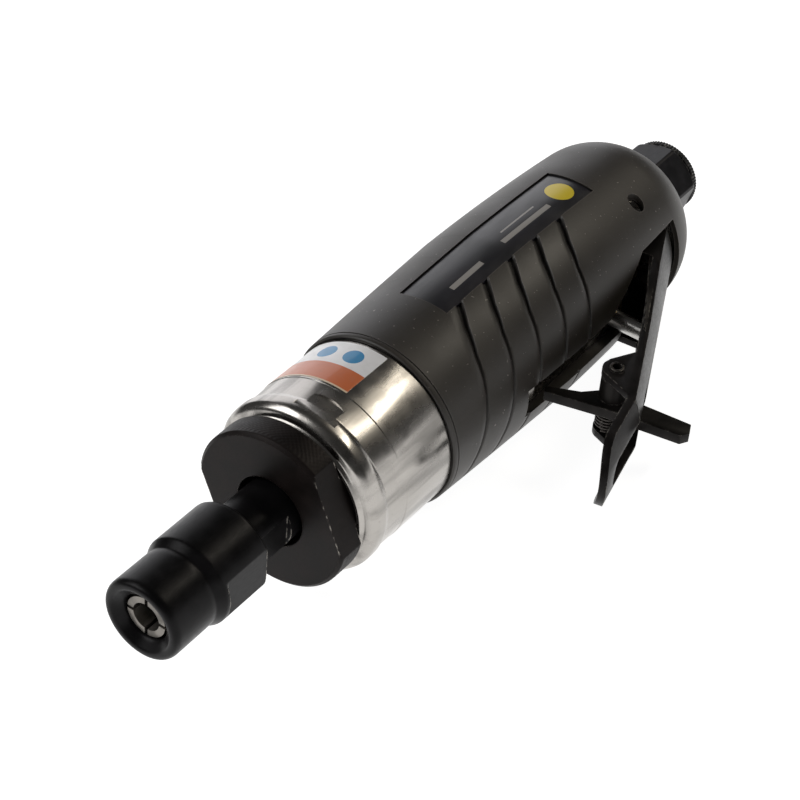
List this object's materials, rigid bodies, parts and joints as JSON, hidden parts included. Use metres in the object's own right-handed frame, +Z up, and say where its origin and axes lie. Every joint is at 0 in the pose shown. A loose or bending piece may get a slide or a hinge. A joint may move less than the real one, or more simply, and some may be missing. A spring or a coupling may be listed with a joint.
{
  "type": "die grinder",
  "caption": "Straight pneumatic die grinder: slotted collet and nut, turned alloy motor housing, moulded barrel grip, side safety lever with latch, threaded air inlet",
  "frame": {"origin": "centre of the bounding box at table level, with the tool lying on its side on the barrel of the grip and the edge of the lever", "axes": "+X along the spindle axis, out of the collet; +Y sideways, to the side the lever is on; +Z up"},
  "size_m": [0.1802, 0.0688, 0.0418],
  "materials": {
    "collet_steel": "ground spring steel",
    "nut_black_oxide": "black oxide, semi-gloss",
    "spindle_steel": "black oxide",
    "clamp_black": "matte black",
    "housing_alloy": "polished and brushed",
    "grip_rubber": "matte moulded",
    "nameplate_black": "gloss black inlay",
    "plate_iron": "ground",
    "plate_iron_rear": "ground",
    "liner_steel": "honed",
    "rotor_steel": "ground",
    "dowel_steel": "ground",
    "inlet_black": "black oxide",
    "strainer_brass": "drilled",
    "felt": "pressed felt",
    "lever_steel": "black oxide, semi-gloss",
    "latch_steel": "black oxide",
    "latch_pin_steel": "blackened spring steel",
    "latch_spring_steel": "spring wire",
    "lever_pin_steel": "ground",
    "bushing_brass": "turned",
    "stem_steel": "turned",
    "valve_spring_steel": "spring wire",
    "plug_brass": "turned",
    "seal_rubber": "o-ring",
    "front_outer_race_steel": "bearing steel",
    "front_inner_race_steel": "bearing steel",
    "front_balls_steel": "bearing steel",
    "rear_outer_race_steel": "bearing steel",
    "rear_inner_race_steel": "bearing steel",
    "rear_balls_steel": "bearing steel",
    "vane_1_resin": "fibre resin",
    "vane_2_resin": "fibre resin",
    "vane_3_resin": "fibre resin",
    "vane_4_resin": "fibre resin"
  },
  "bodies": {
    "housing": {"clamp_nut": "clamp_black", "motor_housing": "housing_alloy", "grip_sleeve": "grip_rubber", "nameplate": "nameplate_black", "front_end_plate": "plate_iron", "rear_end_plate": "plate_iron_rear", "cylinder_liner": "liner_steel", "dowel_pin": "dowel_steel", "inlet_bushing": "inlet_black", "inlet_strainer": "strainer_brass", "dust_felt": "felt", "lever_pin": "lever_pin_steel", "valve_bushing": "bushing_brass", "valve_spring": "valve_spring_steel", "valve_plug": "plug_brass", "valve_seal": "seal_rubber", "front_bearing_outer_race": "front_outer_race_steel", "rear_bearing_outer_race": "rear_outer_race_steel"},
    "spindle_group": {"spindle": "spindle_steel", "collet": "collet_steel", "rotor": "rotor_steel", "vane_1": "vane_1_resin", "vane_2": "vane_2_resin", "vane_3": "vane_3_resin", "vane_4": "vane_4_resin", "front_bearing_inner_race": "front_inner_race_steel", "rear_bearing_inner_race": "rear_inner_race_steel", "front_bearing_balls": "front_balls_steel", "rear_bearing_balls": "rear_balls_steel"},
    "nut": {"collet_nut": "nut_black_oxide"},
    "lever_group": {"lever": "lever_steel", "latch_pin": "latch_pin_steel", "latch_spring": "latch_spring_steel"},
    "latch_group": {"latch": "latch_steel"},
    "stem": {"valve_stem": "stem_steel"}
  },
  "joints": [
    {"name": "spindle_spin", "type": "hinge", "parent": "housing", "child": "spindle_group", "pos_m": [0.0885, -0.01355, 0.0209], "axis": [1, 0, 0], "continuous": true},
    {"name": "collet_nut_turn", "type": "hinge", "parent": "spindle_group", "child": "nut", "pos_m": [0.0885, -0.01355, 0.0209], "axis": [1, 0, 0], "range_deg": [0, 360]},
    {"name": "lever_press", "type": "hinge", "parent": "housing", "child": "lever_group", "pos_m": [-0.0555, -0.00316, 0.01759], "axis": [0, -0.3041, -0.9526], "range_deg": [0, 9.5], "stiffness_Nm_per_rad": 3, "springref_deg": -5.73},
    {"name": "latch_fold", "type": "hinge", "parent": "lever_group", "child": "latch_group", "pos_m": [-0.0159, 0.01722, 0.01108], "axis": [0, -0.3041, -0.9526], "range_deg": [0, 90]},
    {"name": "stem_slide", "type": "slide", "parent": "housing", "child": "stem", "axis": [0, 0.9526, -0.3041], "range_m": [-0.00372, 0], "deforming": ["valve_spring"]}
  ],
  "couplings": [
    {"joint": "latch_fold", "follows": "lever_press", "ratio": 9.4737},
    {"joint": "stem_slide", "follows": "lever_press", "m_per_rad": -0.022315}
  ]
}
